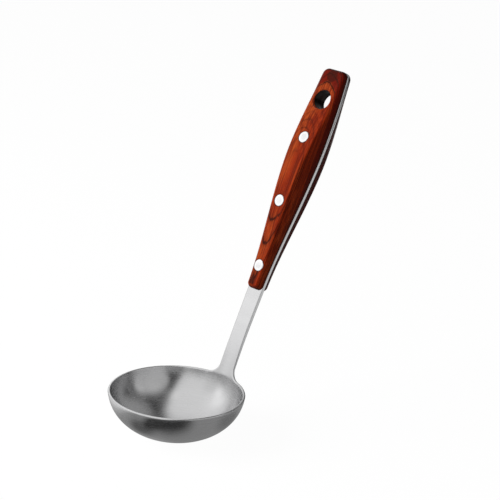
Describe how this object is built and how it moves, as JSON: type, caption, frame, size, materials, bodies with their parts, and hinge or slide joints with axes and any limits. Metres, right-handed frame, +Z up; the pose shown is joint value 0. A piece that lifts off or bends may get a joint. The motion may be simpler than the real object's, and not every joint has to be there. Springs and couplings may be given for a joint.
{
  "type": "soup ladle",
  "caption": "Soup ladle with a round steel bowl, an upright leaning neck and full tang, and riveted wooden handle scales with a hang hole.",
  "frame": {"origin": "on the plane that the bowl's lowest point touches, under the middle of the bounding box", "axes": "+Z up, square to the level rim; +X from the bowl towards the leaning handle; the ladle is symmetric about the XZ plane"},
  "size_m": [0.1644, 0.08, 0.2028],
  "materials": {
    "steel": "brushed, satin",
    "wood": "red-brown hardwood, satin lacquer",
    "rivet": "polished"
  },
  "bodies": {
    "root": {"bowl_and_tang": "steel", "front_scale": "wood", "rear_scale": "wood", "lower_rivet_sleeve": "rivet", "lower_rivet_pin": "rivet", "middle_rivet_sleeve": "rivet", "middle_rivet_pin": "rivet", "upper_rivet_sleeve": "rivet", "upper_rivet_pin": "rivet"}
  },
  "joints": []
}
